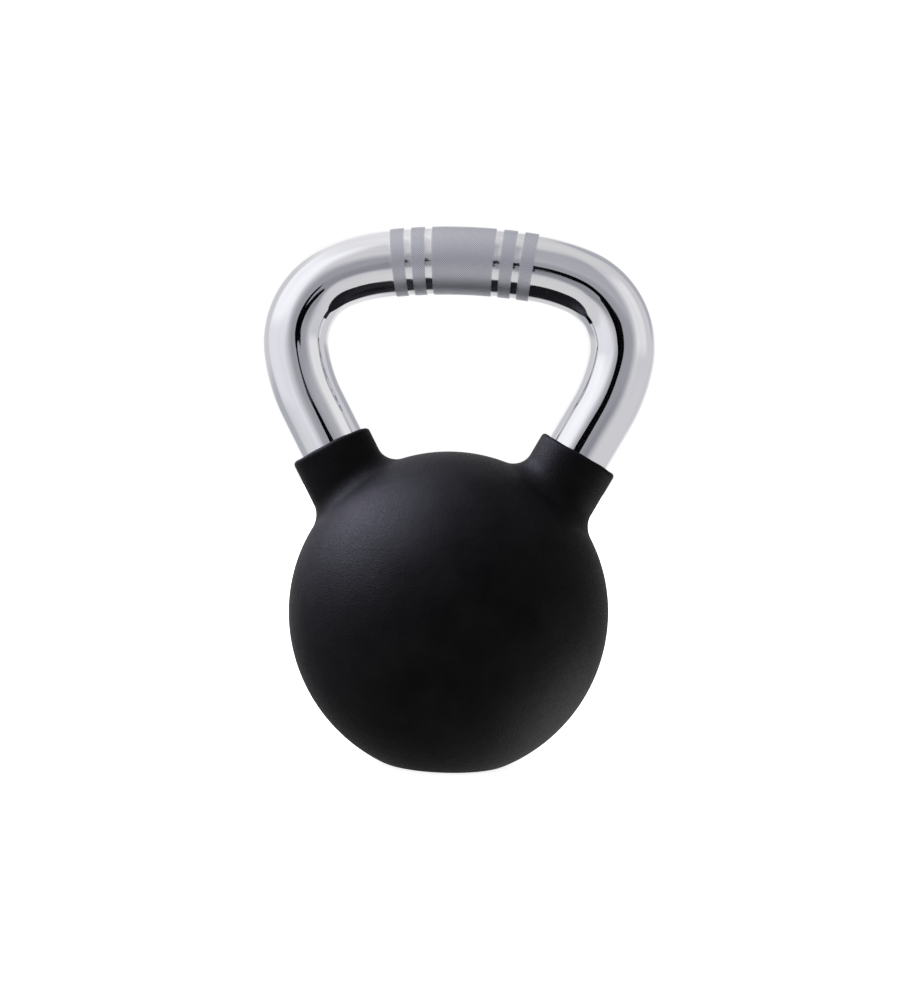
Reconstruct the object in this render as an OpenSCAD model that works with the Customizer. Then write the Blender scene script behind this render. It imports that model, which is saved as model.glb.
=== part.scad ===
// Ball kettlebell: an iron ball with a bent chrome bar welded to it, under one moulded rubber
// cover. The two legs of the bar stand in the cover's collars. The origin is the middle of the
// flat foot, +Z is up, and the bar runs along X. All sizes are in millimetres.

/* [Ball] */
// Diameter of the rubber ball at its widest
ball_d = 157.5; // [154:0.5:161]
// How far the centre of the belly's arc lies past the ball's axis, which narrows the belly
belly_shift = 3.5; // [2.5:0.5:5]
// Diameter of the flat foot
foot_d = 50; // [46:1:54]
// Radius that rounds the belly into the foot
toe_r = 17; // [14:0.5:20]
// Thickness of the rubber on the ball
skin_t = 3.5; // [3:0.25:4.5]

/* [Bar] */
// Height of the whole kettlebell
overall_h = 265; // [265:1:267]
// Width of the handle over its shoulders
handle_w = 194; // [193:0.5:196]
// Diameter of the bar
bar_d = 33; // [32:0.5:34]
// Bend radius of the two corners, to the bar's centre line
corner_r = 36; // [35.5:0.5:36.5]
// Bend radius of the easing above and below each corner
ease_r = 80; // [78:1:82]
// Lean of the legs from upright
leg_lean = 28.5; // [28:0.5:29.5]

/* [Knurling] */
// Length of the wide knurled band in the middle of the grip
wide_band_l = 30; // [26:1:30]
// Length of each narrow band
narrow_band_l = 6.5; // [5:0.5:7]
// Polished gap between bands
band_gap = 3.3; // [2.5:0.1:3.5]
// How far the rolled knurling stands above the polished bar
knurl_rise = 0.2; // [0.1:0.05:0.25]
// How far the knurling's middle lies to the right of the middle of the grip
knurl_shift = 1.5; // [0:0.5:1.5]

/* [Collars] */
// Outside diameter of the collars
collar_d = 41; // [40:0.5:42]
// How far each collar stands outwards of its leg's axis
collar_shift = 1; // [0.25:0.25:1.5]
// Height of the middle of each collar's rim above the floor
rim_z = 156; // [154:0.5:158]
// Rounding of the rim's outer edge
rim_round = 1.5; // [0.5:0.25:2]
// Radius of the hollow where a collar runs into the ball
flare_r = 7; // [6:0.5:8]

/* [Welds] */
// Diameter of the flat seat milled into the iron for each leg
seat_d = 42; // [41:0.5:43]
// Depth of the seat where it is shallowest
seat_depth = 1; // [0.5:0.25:2]
// Bevel on the foot of each leg, which the weld fills
bevel = 4; // [3:0.5:5]
// Height of the weld up the leg, above the bevel
weld_h = 4; // [3:0.5:5]

/* [Hidden] */
$fn = 64;

LEFT = -1;
RIGHT = 1;

ball_r = ball_d / 2;
bar_r = bar_d / 2;
collar_r = collar_d / 2;
seat_r = seat_d / 2;

// The belly is an arc whose centre lies past the ball's axis, level with the widest part. A
// smaller arc rounds it into the foot, so ball_z is as high as the two arcs can stand.
belly_r = ball_r + belly_shift;
foot_reach = foot_d / 2 + belly_shift;
ball_z = toe_r + sqrt((belly_r - toe_r) ^ 2 - foot_reach ^ 2);
toe_drop = atan2(ball_z - toe_r, foot_reach);
toe_end = [belly_r * cos(toe_drop) - belly_shift, ball_z - belly_r * sin(toe_drop)];

// Half of the bar's centre line, from the middle of the grip outwards: the flat arch, an
// easing, the corner and a second easing. Angles are from straight up, about each arc's centre.
arch_end = 8.5;
corner_start = 23;
corner_end = 99;
corner_side = handle_w / 2 - bar_r - corner_r;
arch_r = ease_r + (corner_side - (ease_r - corner_r) * sin(corner_start)) / sin(arch_end);
bend_r = [arch_r, ease_r, corner_r, ease_r];
bend_end = [arch_end, corner_start, corner_end, 90 + leg_lean];
apex_z = overall_h - bar_r - knurl_rise;

// Bending draws the bar out, so it is a little thinner round the easings, and thinnest round the
// corners. Each bend laps into its neighbours, so that the lengths join into one solid.
draw_down = [0, 0.1, 0.2, 0.1];
lap = 1;

// Places along the straight leg are measured up its axis, from the point nearest the ball's
// centre. leg_miss is how far outside the ball's centre the axis passes.
leg_top = bend_centre(3) + ease_r * direction(bend_end[3]);
leg_up = direction(leg_lean);
leg_foot = leg_top + (([0, ball_z] - leg_top) * leg_up) * leg_up;
leg_miss = norm(leg_foot - [0, ball_z]);
leg_l = norm(leg_top - leg_foot);
rim_at = (rim_z - leg_foot[1]) / cos(leg_lean);
seat_at = sqrt((ball_r - skin_t) ^ 2 - (leg_miss + seat_r) ^ 2) - seat_depth;

// The weld's thin edge stays below the iron's surface all round the seat.
weld_edge = seat_depth / 2;

// The flare is turned about the line from the ball's centre to the root of the collar.
flare_lean = leg_lean + asin((leg_miss + collar_shift) / ball_r);
flare_tuck = 0.4;
flare_waist = collar_r - flare_tuck;
flare_centre = [flare_waist + flare_r, sqrt((ball_r + flare_r) ^ 2 - (flare_waist + flare_r) ^ 2)];
flare_toe = flare_centre * ball_r / (ball_r + flare_r);
flare_bed = 3;

// Unit vector in the XZ plane, at an angle from straight up
function direction(angle) = [sin(angle), cos(angle)];

// Centre of one bend of the right half of the bar, as [x, z]
function bend_centre(i) =
    i == 0
    ? [0, apex_z - arch_r]
    : bend_centre(i - 1) + (bend_r[i - 1] - bend_r[i]) * direction(bend_end[i - 1]);

// Angle at the centre of bend i for a length along the bar
function bend_angle(i, length) = length / bend_r[i] * 180 / PI;

// Length of bar of radius r along bend i, from from_angle to to_angle
module bent_bar(i, from_angle, to_angle, r) {
    translate([bend_centre(i)[0], 0, bend_centre(i)[1]])
        rotate([90, 0, 0])
            rotate_extrude(start = 90 - to_angle, angle = to_angle - from_angle)
                translate([bend_r[i], 0])
                    circle(r);
}

// Puts children on one leg: +Z runs up the leg from the point nearest the ball's centre
module on_leg(side) {
    mirror([side == LEFT ? 1 : 0, 0, 0])
        translate([leg_foot[0], 0, leg_foot[1]])
            rotate([0, leg_lean, 0])
                children();
}

module knurled_band(middle, length) {
    from_angle = bend_angle(0, middle - length / 2);
    bent_bar(0, from_angle, from_angle + bend_angle(0, length), bar_r + knurl_rise);
}

module knurling() {
    first = wide_band_l / 2 + band_gap + narrow_band_l / 2;
    second = first + narrow_band_l + band_gap;
    knurled_band(knurl_shift, wide_band_l);
    for (middle = [-second, -first, first, second])
        knurled_band(knurl_shift + middle, narrow_band_l);
}

module eased_corner(side) {
    mirror([side == LEFT ? 1 : 0, 0, 0])
        for (i = [1:3]) {
            lap_angle = bend_angle(i, lap);
            bent_bar(i, bend_end[i - 1] - lap_angle, bend_end[i] + lap_angle, bar_r - draw_down[i]);
        }
}

module leg(side) {
    on_leg(side)
        rotate_extrude()
            polygon([
                [0, seat_at],
                [bar_r - bevel, seat_at],
                [bar_r, seat_at + bevel],
                [bar_r, leg_l],
                [0, leg_l],
            ]);
}

module handle_bar() {
    color("silver") {
        bent_bar(0, -arch_end, arch_end, bar_r);
        knurling();
        for (side = [LEFT, RIGHT]) {
            eased_corner(side);
            leg(side);
        }
    }
}

// Right half of the ball's outline, moved in by inset
module ball_outline(inset) {
    intersection() {
        translate([0, ball_z])
            circle(ball_r - inset);
        translate([0, ball_z])
            square(ball_r);
    }
    intersection() {
        translate([-belly_shift, ball_z])
            circle(belly_r - inset);
        polygon([[0, ball_z], [ball_r, ball_z], [ball_r, 0], toe_end, [foot_d / 2, toe_r], [0, toe_r]]);
    }
    intersection() {
        translate([foot_d / 2, toe_r])
            circle(toe_r - inset);
        polygon([[foot_d / 2, toe_r], toe_end, [ball_r, 0], [foot_d / 2, 0]]);
    }
    translate([0, inset])
        square([foot_d / 2, toe_r - inset]);
}

module iron_core() {
    color("dimgray")
        difference() {
            rotate_extrude()
                ball_outline(skin_t);
            for (side = [LEFT, RIGHT])
                on_leg(side)
                    translate([0, 0, seat_at])
                        cylinder(h = ball_r, r = seat_r);
        }
}

module weld(side) {
    color("slategray")
        on_leg(side)
            rotate_extrude()
                translate([0, seat_at])
                    polygon([
                        [bar_r - bevel, 0],
                        [seat_r, 0],
                        [seat_r, weld_edge],
                        [bar_r, bevel + weld_h],
                        [bar_r, bevel],
                    ]);
}

module collar() {
    translate([collar_shift, 0, 0])
        rotate_extrude() {
            square([collar_r, rim_at - rim_round]);
            square([collar_r - rim_round, rim_at]);
            translate([collar_r - rim_round, rim_at - rim_round])
                circle(rim_round);
        }
}

module flare() {
    rotate_extrude()
        difference() {
            polygon([
                [0, flare_toe[1] - flare_bed],
                flare_toe,
                flare_centre,
                [0, flare_centre[1]],
            ]);
            translate(flare_centre)
                circle(flare_r);
        }
}

module cover_outside() {
    rotate_extrude()
        ball_outline(0);
    for (side = [LEFT, RIGHT]) {
        on_leg(side)
            collar();
        mirror([side == LEFT ? 1 : 0, 0, 0])
            translate([0, 0, ball_z])
                rotate([0, flare_lean, 0])
                    flare();
    }
}

module rubber_cover() {
    color([0.09, 0.09, 0.1])
        difference() {
            cover_outside();
            iron_core();
            handle_bar();
            weld(LEFT);
            weld(RIGHT);
        }
}

handle_bar();
iron_core();
weld(LEFT);  // weld_left
weld(RIGHT);  // weld_right
rubber_cover();
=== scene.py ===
"""Looks of the ball kettlebell: chrome bar, rubber cover, iron and welds, in a white studio.

The handle and the cover are modelled again here at full detail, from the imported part's boxes and
the bend radii below. Everything is in metres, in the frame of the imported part.
"""

import math

import bpy
import numpy as np
from mathutils import Matrix, Vector


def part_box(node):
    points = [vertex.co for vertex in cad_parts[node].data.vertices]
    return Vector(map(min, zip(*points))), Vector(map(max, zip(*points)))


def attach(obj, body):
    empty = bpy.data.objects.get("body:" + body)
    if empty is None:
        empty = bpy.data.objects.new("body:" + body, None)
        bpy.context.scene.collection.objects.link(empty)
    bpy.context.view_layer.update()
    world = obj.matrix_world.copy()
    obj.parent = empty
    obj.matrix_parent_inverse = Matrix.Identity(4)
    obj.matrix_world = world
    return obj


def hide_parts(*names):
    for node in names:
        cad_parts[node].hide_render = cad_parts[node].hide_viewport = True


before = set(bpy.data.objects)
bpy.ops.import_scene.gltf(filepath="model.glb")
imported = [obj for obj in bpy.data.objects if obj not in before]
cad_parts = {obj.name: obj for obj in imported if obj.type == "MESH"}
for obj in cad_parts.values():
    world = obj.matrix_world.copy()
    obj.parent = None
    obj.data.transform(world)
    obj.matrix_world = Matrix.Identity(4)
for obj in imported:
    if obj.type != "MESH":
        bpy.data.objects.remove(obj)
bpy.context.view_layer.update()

MM = 0.001
RIGHT = 1
LEFT = -1

# ---------------------------------------------------------------- sizes shared with the CAD part
# The bar
BAR_R = 16.5 * MM
CORNER_R = 36 * MM
EASE_R = 80 * MM
ARCH_END = math.radians(8.5)
CORNER_START = math.radians(23)
CORNER_END = math.radians(99)
LEG_LEAN = math.radians(28.5)
LEG_END = math.radians(90) + LEG_LEAN
DRAW_DOWN = 0.2 * MM

# The knurling
KNURL_RISE = 0.2 * MM
WIDE_BAND = 30 * MM
NARROW_BAND = 6.5 * MM
BAND_GAP = 3.3 * MM
KNURL_SHIFT = 1.5 * MM

# The cover
BELLY_SHIFT = 3.5 * MM
FOOT_R = 25 * MM
TOE_R = 17 * MM
SKIN = 3.5 * MM
COLLAR_R = 20.5 * MM
COLLAR_SHIFT = 1 * MM
RIM_Z = 156 * MM

bar_low, bar_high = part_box("handle_bar")
cover_low, cover_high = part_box("rubber_cover")

BALL_R = (cover_high.y - cover_low.y) / 2
BELLY_R = BALL_R + BELLY_SHIFT
FOOT_REACH = FOOT_R + BELLY_SHIFT
BALL_Z = TOE_R + math.sqrt((BELLY_R - TOE_R) ** 2 - FOOT_REACH ** 2)
CORNER_SIDE = bar_high.x - BAR_R - CORNER_R
ARCH_R = EASE_R + (CORNER_SIDE - (EASE_R - CORNER_R) * math.sin(CORNER_START)) / math.sin(ARCH_END)
APEX_Z = bar_high.z - BAR_R - KNURL_RISE

# Each bend of the right half of the bar: its radius, and the heading below level where it ends
BENDS = ((ARCH_R, ARCH_END), (EASE_R, CORNER_START), (CORNER_R, CORNER_END), (EASE_R, LEG_END))


# ---------------------------------------------------------------- the bar's centre line
def centre_line(length):
    """Point (x, z) and heading of the right half of the bar, at a length from mid-grip."""
    x, z, heading = 0.0, APEX_Z, 0.0
    for radius, end in BENDS:
        turned = min(length, radius * (end - heading)) / radius
        x += radius * (math.sin(heading + turned) - math.sin(heading))
        z += radius * (math.cos(heading + turned) - math.cos(heading))
        heading += turned
        length -= radius * turned
    return x + length * math.cos(heading), z - length * math.sin(heading), heading


BEND_STARTS = (0, ARCH_END, CORNER_START, CORNER_END)
BENT_L = sum(radius * (end - start) for (radius, end), start in zip(BENDS, BEND_STARTS))
LEG_TOP_X, LEG_TOP_Z, _ = centre_line(BENT_L)
LEG_UP = np.array([math.sin(LEG_LEAN), math.cos(LEG_LEAN)])
LEG_L = float(np.dot([LEG_TOP_X, LEG_TOP_Z - BALL_Z], LEG_UP))
LEG_FOOT = np.array([LEG_TOP_X, LEG_TOP_Z]) - LEG_L * LEG_UP
RIM_AT = (RIM_Z - LEG_FOOT[1]) / LEG_UP[1]
SEAT_AT = (bar_low.z - LEG_FOOT[1]) / LEG_UP[1] + BAR_R * math.tan(LEG_LEAN)


# ---------------------------------------------------------------- mesh helpers
SHARP_ANGLE = math.radians(40)


def new_object(name, vertices, faces, materials):
    """Mesh object in the scene, from its vertices, faces and materials."""
    mesh = bpy.data.meshes.new(name)
    mesh.from_pydata(vertices, [], faces)
    mesh.update()
    obj = bpy.data.objects.new(name, mesh)
    bpy.context.scene.collection.objects.link(obj)
    for material in materials:
        mesh.materials.append(material)
    return obj


def revolve(outline, around=96):
    """Closed mesh from an outline of (radius, z) that starts and ends on the Z axis."""
    turns = np.arange(around) * 2 * math.pi / around
    vertices = [(0, 0, outline[0][1])]
    for r, z in outline[1:-1]:
        vertices += [(r * math.cos(t), r * math.sin(t), z) for t in turns]
    vertices.append((0, 0, outline[-1][1]))
    rows = len(outline) - 2
    faces = []
    for i in range(around):
        j = (i + 1) % around
        faces.append((0, 1 + j, 1 + i))
        for row in range(rows - 1):
            a = 1 + row * around
            faces.append((a + i, a + j, a + around + j, a + around + i))
        last = 1 + (rows - 1) * around
        faces.append((last + i, last + j, len(vertices) - 1))
    return vertices, faces


# ---------------------------------------------------------------- material helpers
class Look:
    """A node material under construction, with one Principled shader."""

    def __init__(self, name, space=None):
        self.material = bpy.data.materials.new(name)
        self.material.use_nodes = True
        self.nodes = self.material.node_tree.nodes
        self.links = self.material.node_tree.links
        self.shader = self.nodes["Principled BSDF"]
        if space:
            self.place = self.attribute(space).outputs["Vector"]
        else:
            self.place = self.nodes.new("ShaderNodeTexCoord").outputs["Object"]

    def attribute(self, name):
        node = self.nodes.new("ShaderNodeAttribute")
        node.attribute_name = name
        return node

    def set(self, **values):
        for name, value in values.items():
            self.shader.inputs[name.replace("_", " ")].default_value = value

    def noise(self, size, detail=4, stretch=(1, 1, 1)):
        """Noise whose blobs are about size metres across."""
        mapping = self.nodes.new("ShaderNodeMapping")
        mapping.inputs["Scale"].default_value = stretch
        texture = self.nodes.new("ShaderNodeTexNoise")
        texture.inputs["Scale"].default_value = 1 / size
        texture.inputs["Detail"].default_value = detail
        self.links.new(self.place, mapping.inputs["Vector"])
        self.links.new(mapping.outputs["Vector"], texture.inputs["Vector"])
        return texture.outputs["Fac"]

    def ramp(self, source, stops):
        """Colour ramp with stops of (position, grey or colour)."""
        node = self.nodes.new("ShaderNodeValToRGB")
        elements = node.color_ramp.elements
        while len(elements) < len(stops):
            elements.new(0.5)
        for element, (position, colour) in zip(elements, stops):
            element.position = position
            rgb = colour if isinstance(colour, tuple) else (colour,) * 3
            element.color = (*rgb, 1)
        self.links.new(source, node.inputs["Fac"])
        return node.outputs["Color"]

    def bump(self, source, height, after=None):
        """Relief of the given height in metres, on top of an earlier bump."""
        node = self.nodes.new("ShaderNodeBump")
        node.inputs["Distance"].default_value = height
        self.links.new(source, node.inputs["Height"])
        if after:
            self.links.new(after, node.inputs["Normal"])
        return node.outputs["Normal"]

    def add(self, first, second):
        node = self.nodes.new("ShaderNodeMath")
        node.operation = "ADD"
        self.links.new(first, node.inputs[0])
        self.links.new(second, node.inputs[1])
        return node.outputs["Value"]

    def plug(self, source, name):
        self.links.new(source, self.shader.inputs[name])


def chrome_look():
    """Mirror chrome with faint streaks along the bar, dulled a little where hands wear it."""
    look = Look("polished_chrome", "bar_space")
    look.set(Metallic=1.0)
    haze = look.noise(4 * MM, stretch=(0.06, 1, 1))
    look.plug(look.ramp(haze, [(0.3, (0.84, 0.84, 0.87)), (0.7, (0.95, 0.95, 0.95))]), "Base Color")
    streaks = look.ramp(look.noise(2.5 * MM, stretch=(0.05, 1, 1)), [(0.35, 0.02), (0.75, 0.08)])
    handled = look.ramp(look.attribute("grip").outputs["Fac"], [(0, 0), (1, 0.08)])
    look.plug(look.add(streaks, handled), "Roughness")
    wave = look.bump(look.noise(25 * MM, detail=1, stretch=(0.35, 1, 1)), 0.03 * MM)
    drawn = look.noise(3 * MM, detail=1, stretch=(0.02, 1, 1))
    look.plug(look.bump(drawn, 0.006 * MM, after=wave), "Normal")
    return look.material


def knurl_look():
    """Satin chrome of the rolled diamonds, with shade painted dark into their roots."""
    look = Look("knurled_chrome", "bar_space")
    look.set(Metallic=1.0)
    relief = look.attribute("relief").outputs["Fac"]
    # Painted shade: the roots between the diamonds are coloured darker than the points
    root_painted_shade, point_grey = (0.46, 0.47, 0.52), (0.95, 0.95, 1.0)
    look.plug(look.ramp(relief, [(0.15, root_painted_shade), (0.8, point_grey)]), "Base Color")
    look.plug(look.ramp(look.noise(4 * MM), [(0.3, 0.48), (0.7, 0.40)]), "Roughness")
    return look.material


def rubber_look():
    """Matte black rubber with a fine moulded grain."""
    look = Look("black_rubber")
    cloud = look.noise(18 * MM)
    black, worn_black = (0.0012, 0.0012, 0.0014), (0.0026, 0.0026, 0.0028)
    look.plug(look.ramp(cloud, [(0.3, black), (0.7, worn_black)]), "Base Color")
    speck = look.noise(0.9 * MM, detail=3)
    look.plug(look.ramp(speck, [(0.35, 0.60), (0.7, 0.44)]), "Roughness")
    look.set(Specular_IOR_Level=0.032)
    grain = look.bump(look.noise(0.7 * MM, detail=3), 0.22 * MM)
    look.plug(look.bump(look.noise(6 * MM, detail=2), 0.15 * MM, after=grain), "Normal")
    return look.material


def iron_look():
    """Rough cast iron, which the cover hides."""
    look = Look("cast_iron")
    look.set(Metallic=0.8)
    cloud = look.noise(9 * MM)
    dark, pale = (0.05, 0.048, 0.047), (0.11, 0.105, 0.10)
    look.plug(look.ramp(cloud, [(0.3, dark), (0.7, pale)]), "Base Color")
    look.plug(look.ramp(cloud, [(0.3, 0.75), (0.7, 0.6)]), "Roughness")
    look.plug(look.bump(look.noise(1.2 * MM), 0.25 * MM), "Normal")
    return look.material


def weld_look():
    """Weld metal tinted by heat, which the collars hide."""
    look = Look("weld_steel")
    look.set(Metallic=1.0, Roughness=0.42)
    heat = look.noise(5 * MM)
    look.plug(look.ramp(heat, [(0.3, (0.22, 0.20, 0.24)), (0.7, (0.42, 0.38, 0.33))]), "Base Color")
    look.plug(look.bump(look.noise(2.5 * MM, detail=2), 0.3 * MM), "Normal")
    return look.material


# ---------------------------------------------------------------- the handle
AROUND = 192
HALF_PITCH = 2 * math.pi * BAR_R / AROUND
POLISHED_STEP = 1.5 * MM
HIDDEN_STEP = 6 * MM
TUCKED_IN = 4 * MM

# Height of the roots between the diamonds, above the polished bar
KNURL_ROOT = 0.02 * MM

# The relief is 0 in a root and 1 on a point of the knurling, and this on polished chrome
NO_RELIEF = 0.5

# How far from mid-grip the chrome is dulled by hands, and how far round a corner the bar is thinned
GRIP_WEAR_L = 46 * MM
THINNED_L = 32 * MM


def stretches():
    """Lengths of bar from the left foot to the right one: (start, end, knurled, row spacing)."""
    foot = BENT_L + LEG_L - SEAT_AT
    hidden = BENT_L + LEG_L - RIM_AT + TUCKED_IN
    marks = [(-foot, False, HIDDEN_STEP), (-hidden, False, POLISHED_STEP)]
    edge = KNURL_SHIFT - WIDE_BAND / 2 - 2 * (BAND_GAP + NARROW_BAND)
    for band in (NARROW_BAND, NARROW_BAND, WIDE_BAND, NARROW_BAND, NARROW_BAND):
        marks += [(edge, True, HALF_PITCH), (edge + band, False, POLISHED_STEP)]
        edge += band + BAND_GAP
    marks.append((hidden, False, HIDDEN_STEP))
    ends = [start for start, _, _ in marks[1:]] + [foot]
    return [(start, end, knurled, step) for (start, knurled, step), end in zip(marks, ends)]


def bar_rows():
    """Rows of vertices along the bar: (length, is the row knurled, is the gap after it knurled)."""
    rows = []
    for start, end, knurled, spacing in stretches():
        steps = round((end - start) / spacing)
        for step in range(steps):
            rows.append((start + (end - start) * step / steps, knurled and step > 0, knurled))
    rows.append((end, False, False))
    return rows


def bar_radius(length):
    """Radius of the polished bar, which bending has drawn out a little round the corners."""
    corner_middle = ARCH_R * ARCH_END + EASE_R * (CORNER_START - ARCH_END)
    corner_middle += CORNER_R * (CORNER_END - CORNER_START) / 2
    reach = (length - corner_middle) / THINNED_L
    return BAR_R - DRAW_DOWN * math.exp(-reach * reach)


def handle_vertices(rows):
    """Vertices of the bar, and for each its place along the straightened bar and its relief."""
    turns = np.arange(AROUND) * 2 * math.pi / AROUND
    vertices, straight, relief = [], [], []
    for j, (length, knurled, _) in enumerate(rows):
        side = RIGHT if length >= 0 else LEFT
        x, z, heading = centre_line(abs(length))
        radius = np.full(AROUND, bar_radius(abs(length)))
        peak = (np.arange(AROUND) + j) % 2
        if knurled:
            radius += np.where(peak, KNURL_RISE, KNURL_ROOT)
        relief += list(peak if knurled else np.full(AROUND, NO_RELIEF))
        out, across = radius * np.cos(turns), radius * np.sin(turns)
        ring_x = side * (x + out * math.sin(heading))
        ring_z = z + out * math.cos(heading)
        vertices += list(zip(ring_x, across, ring_z))
        straight += list(zip(np.full(AROUND, length), across, out))
    return vertices, straight, relief


def handle_faces(rows):
    """Faces of the bar, with its two ends closed, and for each whether it is polished."""
    faces, polished = [], []
    for j, (_, _, knurled) in enumerate(rows[:-1]):
        for i in range(AROUND):
            a = j * AROUND + i
            b = j * AROUND + (i + 1) % AROUND
            c, d = b + AROUND, a + AROUND
            if not knurled:
                faces.append((a, d, c, b))
            elif (i + j) % 2:
                faces += [(a, d, b), (b, d, c)]
            else:
                faces += [(a, c, b), (a, d, c)]
            polished += [False, False] if knurled else [True]
    last = (len(rows) - 1) * AROUND
    faces += [tuple(range(AROUND)), tuple(reversed(range(last, last + AROUND)))]
    polished += [True, True]
    return faces, polished


def make_handle():
    """The whole bar as one tube, whose vertices carry what its two materials read."""
    rows = bar_rows()
    vertices, straight, relief = handle_vertices(rows)
    faces, polished = handle_faces(rows)
    handle = new_object("handle", vertices, faces, [chrome_look(), knurl_look()])
    mesh = handle.data
    mesh.polygons.foreach_set("use_smooth", polished)
    mesh.polygons.foreach_set("material_index", [0 if shiny else 1 for shiny in polished])
    space = mesh.attributes.new("bar_space", "FLOAT_VECTOR", "POINT")
    space.data.foreach_set("vector", np.array(straight).ravel())
    grip = np.repeat([math.exp(-(length / GRIP_WEAR_L) ** 4) for length, _, _ in rows], AROUND)
    for name, values in (("relief", np.array(relief, dtype=float)), ("grip", grip)):
        mesh.attributes.new(name, "FLOAT", "POINT").data.foreach_set("value", values)
    mesh.set_sharp_from_angle(angle=SHARP_ANGLE)
    return handle


# ---------------------------------------------------------------- the cover
VOXEL = 1.15 * MM
SOCKET_GAP = 0.12 * MM

# Moulded rubber is softer in its edges than the CAD part, and its hollows are wider inwards
RIM_ROUND = 1.8 * MM
INNER_FILLET = 8.5 * MM
OUTER_FILLET = 5.5 * MM

# The collars are moulded a little uneven, in three long waves and eight short ones round them
LONG_WAVE = 0.18 * MM
SHORT_WAVE = 0.10 * MM

# The collars start inside the ball, and the sockets run past the rims
COLLAR_ROOT = 20 * MM
PAST_RIM = 9 * MM


def ball_distance(points, inset=0.0):
    """Distance outside the rubber ball, negative inside."""
    r = np.hypot(points[:, 0], points[:, 1])
    z = points[:, 2]
    upper = np.hypot(r, z - BALL_Z) - BALL_R
    belly = np.hypot(r + BELLY_SHIFT, z - BALL_Z) - BELLY_R
    toe = np.where(r > FOOT_R, np.hypot(r - FOOT_R, z - TOE_R) - TOE_R, -z)
    toe_drop = math.atan2(BALL_Z - TOE_R, FOOT_REACH)
    drop = np.arctan2(BALL_Z - z, r + BELLY_SHIFT)
    lower = np.where(drop > toe_drop, toe, belly)
    return np.where(z >= BALL_Z, upper, lower) + inset


def collar_distance(points):
    """Distance outside the nearer collar, and how far round to its inner side the point lies."""
    side = np.sign(points[:, 0])
    x = np.abs(points[:, 0]) - LEG_FOOT[0]
    z = points[:, 2] - LEG_FOOT[1]
    along = x * LEG_UP[0] + z * LEG_UP[1]
    out = x * LEG_UP[1] - z * LEG_UP[0] - COLLAR_SHIFT
    turn = np.arctan2(points[:, 1], out)
    uneven = LONG_WAVE * np.sin(3 * turn + 2 * side) + SHORT_WAVE * np.sin(8 * turn + 5 * side)
    beside = np.hypot(out, points[:, 1]) - COLLAR_R + RIM_ROUND - 0.4 * uneven
    above = along - RIM_AT + RIM_ROUND + uneven
    apart = np.hypot(np.maximum(beside, 0), np.maximum(above, 0))
    return np.minimum(np.maximum(beside, above), 0) + apart - RIM_ROUND, -np.cos(turn)


def cover_distance(points):
    """Distance outside the cover, with a round fillet where each collar meets the ball."""
    ball = ball_distance(points)
    collar, inward = collar_distance(points)
    fillet = OUTER_FILLET + (INNER_FILLET - OUTER_FILLET) * (inward + 1) / 2
    blend = np.hypot(np.maximum(fillet - ball, 0), np.maximum(fillet - collar, 0))
    return np.maximum(fillet, np.minimum(ball, collar)) - blend


def settle(mesh, rounds=6):
    """Moves every vertex onto the cover's surface, in short steps where the surface folds."""
    points = np.empty(len(mesh.vertices) * 3)
    mesh.vertices.foreach_get("co", points)
    points = points.reshape(-1, 3)
    step = 0.02 * MM
    for _ in range(rounds):
        here = cover_distance(points)
        rises = [cover_distance(points + step * axis) - here for axis in np.eye(3)]
        slope = np.stack(rises, axis=1) / step
        slope /= np.maximum(np.sum(slope * slope, axis=1, keepdims=True), 0.25)
        points = points - here[:, None] * slope
    points[:, 2] = np.maximum(points[:, 2], 0)
    mesh.vertices.foreach_set("co", points.ravel())
    mesh.update()


def apply_modifiers(obj):
    """Gives the object the mesh that its modifiers make."""
    graph = bpy.context.evaluated_depsgraph_get()
    mesh = bpy.data.meshes.new_from_object(obj.evaluated_get(graph))
    obj.modifiers.clear()
    old = obj.data
    obj.data = mesh
    bpy.data.meshes.remove(old)


def remesh(obj):
    """Melts overlapping closed meshes into one even skin."""
    modifier = obj.modifiers.new("remesh", "REMESH")
    modifier.mode = "VOXEL"
    modifier.voxel_size = VOXEL
    apply_modifiers(obj)


def carve(obj, cutter):
    """Takes the cutter out of the object, and removes the cutter."""
    modifier = obj.modifiers.new("carve", "BOOLEAN")
    modifier.operation = "DIFFERENCE"
    modifier.solver = "EXACT"
    modifier.object = cutter
    apply_modifiers(obj)
    bpy.data.objects.remove(cutter)


def ball_outline(inset, steps=64):
    """Outline of the ball moved in by inset, from the middle of the foot up to the top."""
    toe_drop = math.atan2(BALL_Z - TOE_R, FOOT_REACH)
    toe_r, belly_r, ball_r = TOE_R - inset, BELLY_R - inset, BALL_R - inset
    outline = [(0, inset), (FOOT_R, inset)]
    for turn in np.linspace(math.pi / 2, toe_drop, steps // 4)[1:]:
        outline.append((FOOT_R + toe_r * math.cos(turn), TOE_R - toe_r * math.sin(turn)))
    for turn in np.linspace(toe_drop, 0, steps // 2)[1:]:
        outline.append((belly_r * math.cos(turn) - BELLY_SHIFT, BALL_Z - belly_r * math.sin(turn)))
    for turn in np.linspace(0, math.pi / 2, steps)[1:-1]:
        outline.append((ball_r * math.cos(turn), BALL_Z + ball_r * math.sin(turn)))
    return outline + [(0, BALL_Z + ball_r)]


def leg_cylinder(side, radius, shift, start, end, around=128):
    """Closed cylinder along one leg, as vertices and faces."""
    vertices, faces = revolve([(0, start), (radius, start), (radius, end), (0, end)], around)
    placed = []
    for x, y, z in vertices:
        out = x + shift
        placed.append((
            side * (LEG_FOOT[0] + out * LEG_UP[1] + z * LEG_UP[0]),
            y,
            LEG_FOOT[1] - out * LEG_UP[0] + z * LEG_UP[1],
        ))
    if side == LEFT:
        faces = [tuple(reversed(face)) for face in faces]
    return placed, faces


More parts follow.
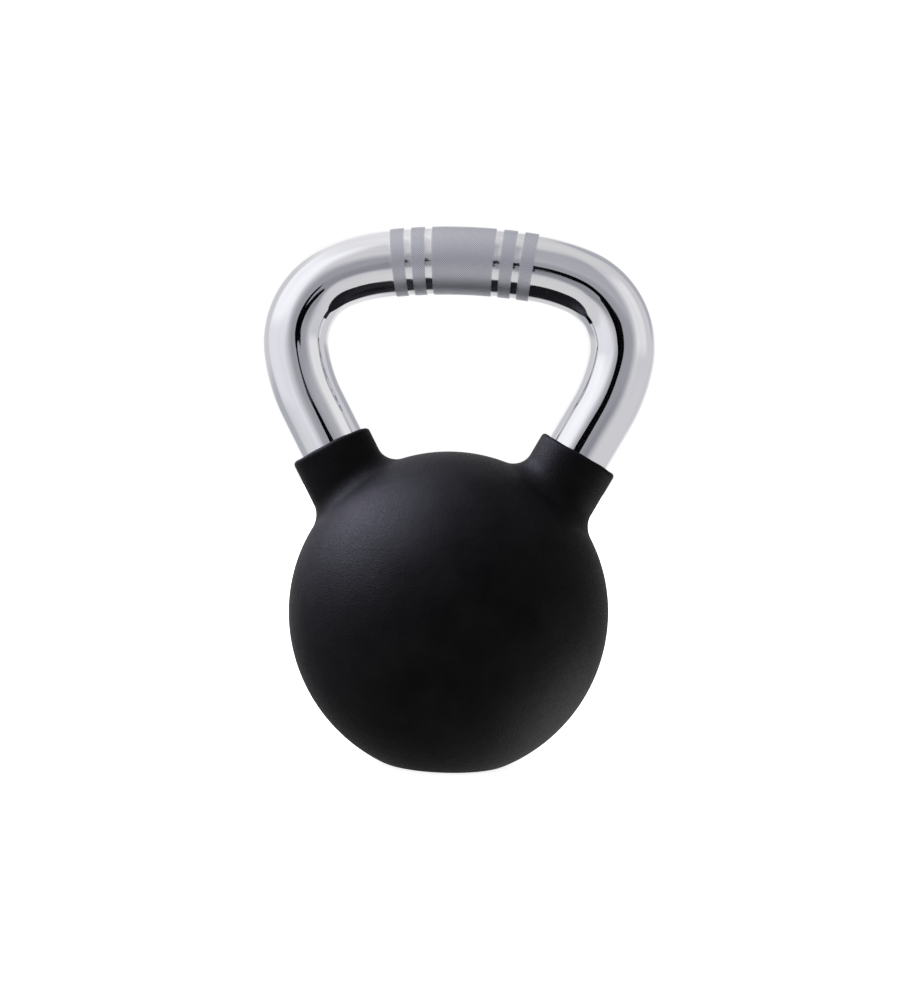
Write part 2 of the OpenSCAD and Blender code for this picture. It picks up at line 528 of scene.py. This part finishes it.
def join(parts):
    """One list of vertices and one of faces from several closed meshes."""
    vertices, faces = [], []
    for part_vertices, part_faces in parts:
        base = len(vertices)
        vertices += part_vertices
        faces += [tuple(base + i for i in face) for face in part_faces]
    return vertices, faces


def make_cover():
    """Rubber skin: ball and collars melted together, then hollowed for the iron and the bar."""
    parts = [revolve(ball_outline(0))]
    for side in (LEFT, RIGHT):
        parts.append(leg_cylinder(side, COLLAR_R, COLLAR_SHIFT, COLLAR_ROOT, RIM_AT))
    cover = new_object("cover", *join(parts), [])
    for _ in range(2):
        remesh(cover)
        settle(cover.data)
    carve(cover, new_object("cavity", *revolve(ball_outline(SKIN)), []))
    for side in (LEFT, RIGHT):
        socket = leg_cylinder(side, BAR_R + SOCKET_GAP, 0, SEAT_AT, RIM_AT + PAST_RIM)
        carve(cover, new_object("socket", *socket, []))
    cover.data.materials.clear()
    cover.data.materials.append(rubber_look())
    cover.data.shade_smooth()
    cover.data.set_sharp_from_angle(angle=SHARP_ANGLE)
    return cover


# ---------------------------------------------------------------- the studio
# Point inside the kettlebell that the lights and the camera face
MIDDLE = Vector((0, 0, 0.13))

WHITE = (1.0, 1.0, 1.0)
COOL_WHITE = (0.79, 0.78, 1.0)
SURROUND = (0.64, 0.64, 0.67)

# What the chrome mirrors, as soft patches laid over the plain surroundings. In degrees: azimuth
# round from the camera's side towards +X, elevation, half width, half height and soft edge. Then
# a colour.
PATCHES = (
    ("ceiling", 0, 90, 180, 25, 20, (0.66, 0.66, 0.67)),
    ("ceiling_left", -95, 90, 55, 30, 25, (0.86, 0.86, 0.87)),
    ("wall_behind_camera", 12, 2, 20, 10, 24, (0.34, 0.34, 0.38)),
    ("wall_above_camera", 20, 42, 14, 12, 16, (0.42, 0.42, 0.46)),
    ("floor", 0, -90, 180, 45, 25, (0.67, 0.67, 0.68)),
    ("floor_behind", 180, -78, 62, 20, 14, (0.34, 0.34, 0.35)),
    ("floor_edge_by_camera", 5, -13, 22, 4, 10, (0.28, 0.28, 0.31)),
    ("softbox_left", -64, 33, 26, 16, 18, (0.99, 1.00, 1.04)),
    ("softbox_left_foot", -66, -2, 26, 10, 12, (0.80, 0.81, 0.86)),
    ("softbox_right", 74, 26, 14, 16, 12, (0.82, 0.82, 0.83)),
    ("flag_left", -118, -24, 16, 10, 12, (0.45, 0.46, 0.50)),
    ("flag_right", 142, 38, 12, 22, 10, (0.45, 0.46, 0.49)),
    ("backdrop_low", 160, -20, 14, 26, 12, (0.84, 0.84, 0.85)),
    ("backdrop", -168, 15, 24, 28, 14, (1.05, 1.05, 1.05)),
)

# Outline of the camera and the person behind it, which the chrome mirrors: (x, z) in millimetres
# on an upright sheet
OPERATOR_Y = -475 * MM
OPERATOR_GLOW = (0.002, 0.002, 0.003)
OPERATOR = (
    (-58, 185), (-60, 235), (-15, 260), (5, 268), (30, 251), (60, 252), (105, 270), (132, 272),
    (132, 238), (106, 215), (108, 165), (96, 80), (62, 55), (22, 90), (16, 165), (0, 190),
    (-30, 165),
)


def direction(azimuth, elevation):
    """Unit vector for degrees round from the camera's side towards +X, and up from level."""
    around, up = math.radians(azimuth), math.radians(elevation)
    return Vector((math.sin(around) * math.cos(up), -math.cos(around) * math.cos(up), math.sin(up)))


def smooth(share):
    """Share of 0 to 1 that eases in and out."""
    share = min(max(share, 0.0), 1.0)
    return share * share * (3 - 2 * share)


def surroundings(azimuth, elevation):
    """Colour of the studio in one direction."""
    colour = np.array(SURROUND)
    for _, centre, height, wide, tall, soft, patch in PATCHES:
        apart = abs((azimuth - centre + 180) % 360 - 180)
        across = smooth((wide + soft - apart) / soft)
        upwards = smooth((tall + soft - abs(elevation - height)) / soft)
        colour = colour + across * upwards * (np.array(patch) - colour)
    return colour


def glowing(name, colour=None, attribute=None):
    """Material that glows evenly, or by a colour attribute of the mesh."""
    material = bpy.data.materials.new(name)
    material.use_nodes = True
    nodes, links = material.node_tree.nodes, material.node_tree.links
    nodes.clear()
    glow = nodes.new("ShaderNodeEmission")
    if attribute:
        node = nodes.new("ShaderNodeAttribute")
        node.attribute_name = attribute
        links.new(node.outputs["Color"], glow.inputs["Color"])
    else:
        glow.inputs["Color"].default_value = (*colour, 1)
    output = nodes.new("ShaderNodeOutputMaterial")
    links.new(glow.outputs["Emission"], output.inputs["Surface"])
    material.cycles.emission_sampling = "NONE"
    return material


def mirror_only(obj):
    """Leaves the object to be seen in mirrors and nowhere else."""
    obj.visible_camera = False
    obj.visible_diffuse = False
    obj.visible_shadow = False


def studio_dome(radius=2.0, step=2):
    """Sphere round the part that glows as the studio does."""
    columns, rows = 360 // step, 180 // step
    places = []
    for row in range(rows + 1):
        places += [(column * step, row * step - 90) for column in range(columns)]
    vertices = [MIDDLE + radius * direction(*place) for place in places]
    faces = []
    for row in range(rows):
        for column in range(columns):
            a, b = row * columns + column, row * columns + (column + 1) % columns
            faces.append((a, b, b + columns, a + columns))
    dome = new_object("studio_dome", vertices, faces, [glowing("studio_dome", attribute="studio")])
    glow = dome.data.attributes.new("studio", "FLOAT_COLOR", "POINT")
    glow.data.foreach_set("color", np.ravel([(*surroundings(*place), 1) for place in places]))
    mirror_only(dome)


def operator():
    """Dark sheet where the camera and the person behind it stand."""
    corners = [(x * MM, OPERATOR_Y, z * MM) for x, z in OPERATOR]
    face = tuple(range(len(corners)))
    mirror_only(new_object("operator", corners, [face], [glowing("operator", OPERATOR_GLOW)]))


def make_floor():
    """Pale table that is lit a little from within, so that shadows on it stay faint."""
    half = 8.0
    look = Look("studio_floor")
    look.set(Roughness=0.9, Specular_IOR_Level=0.1)
    look.set(Emission_Color=(*WHITE, 1), Emission_Strength=0.85)
    look.plug(look.ramp(look.noise(0.4), [(0.3, 0.92), (0.7, 0.94)]), "Base Color")
    corners = [(-half, -half, 0), (half, -half, 0), (half, half, 0), (-half, half, 0)]
    floor = new_object("floor", corners, [(0, 1, 2, 3)], [look.material])
    floor.visible_glossy = False


def cover_light(cover, name, azimuth, elevation, size, power, colour):
    """Soft disk of light, a metre away, that falls on the cover alone and is shaded by it alone."""
    data = bpy.data.lights.new(name, "AREA")
    data.shape = "DISK"
    data.size = size
    data.energy = power
    data.color = colour
    light = bpy.data.objects.new(name, data)
    bpy.context.scene.collection.objects.link(light)
    centre = MIDDLE + direction(azimuth, elevation)
    aim = (MIDDLE - centre).to_track_quat("-Z", "Y")
    light.matrix_world = Matrix.Translation(centre) @ aim.to_matrix().to_4x4()
    only_cover = bpy.data.collections.new(name + "_on_cover")
    only_cover.objects.link(cover)
    light.light_linking.receiver_collection = only_cover
    light.light_linking.blocker_collection = only_cover


def floor_light():
    """Wide soft light from above that whitens the floor."""
    data = bpy.data.lights.new("floor_light", "SUN")
    data.energy = 1.0
    data.angle = math.radians(100)
    light = bpy.data.objects.new("floor_light", data)
    bpy.context.scene.collection.objects.link(light)
    light.matrix_world = (-direction(-120, 70)).to_track_quat("-Z", "Y").to_matrix().to_4x4()
    light.visible_glossy = False


def make_lights(cover):
    """White world, the things that only mirrors see, and the lights."""
    world = bpy.data.worlds.new("studio")
    bpy.context.scene.world = world
    world.use_nodes = True
    background = world.node_tree.nodes["Background"]
    background.inputs["Color"].default_value = (*WHITE, 1)
    background.inputs["Strength"].default_value = 1.02
    studio_dome()
    operator()
    floor_light()
    cover_light(cover, "key", -96, 46, 0.9, 76, COOL_WHITE)
    cover_light(cover, "low_fill", 116, -40, 0.8, 5.8, WHITE)


# ---------------------------------------------------------------- the camera
CAMERA_D = 0.85
CAMERA_YAW = math.radians(3)
CAMERA_Z = 0.15
CAMERA_ROLL = math.radians(2.02)
LENS_MM = 62.0
SENSOR_MM = 36.0

# How far the lens is shifted, as a share of the picture's longer side
SHIFT_X = 0.0096
SHIFT_Y = 0.001


def make_camera():
    """Camera at the photo's distance, height and slight roll."""
    data = bpy.data.cameras.new("camera")
    data.lens = LENS_MM
    data.sensor_width = SENSOR_MM
    data.shift_x = SHIFT_X
    data.shift_y = SHIFT_Y
    camera = bpy.data.objects.new("camera", data)
    bpy.context.scene.collection.objects.link(camera)
    place = Vector((CAMERA_D * math.sin(CAMERA_YAW), -CAMERA_D * math.cos(CAMERA_YAW), CAMERA_Z))
    aim = (MIDDLE - place).to_track_quat("-Z", "Y").to_matrix().to_4x4()
    camera.matrix_world = Matrix.Translation(place) @ aim @ Matrix.Rotation(CAMERA_ROLL, 4, "Z")
    bpy.context.scene.camera = camera


# ---------------------------------------------------------------- build
handle = make_handle()
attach(handle, "root")
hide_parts("handle_bar")

cover = make_cover()
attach(cover, "root")
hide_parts("rubber_cover")

for node, look in (("iron_core", iron_look), ("weld_left", weld_look), ("weld_right", weld_look)):
    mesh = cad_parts[node].data
    mesh.materials.clear()
    mesh.materials.append(look())

make_floor()
make_lights(cover)
make_camera()
bpy.context.scene.view_settings.view_transform = "Standard"
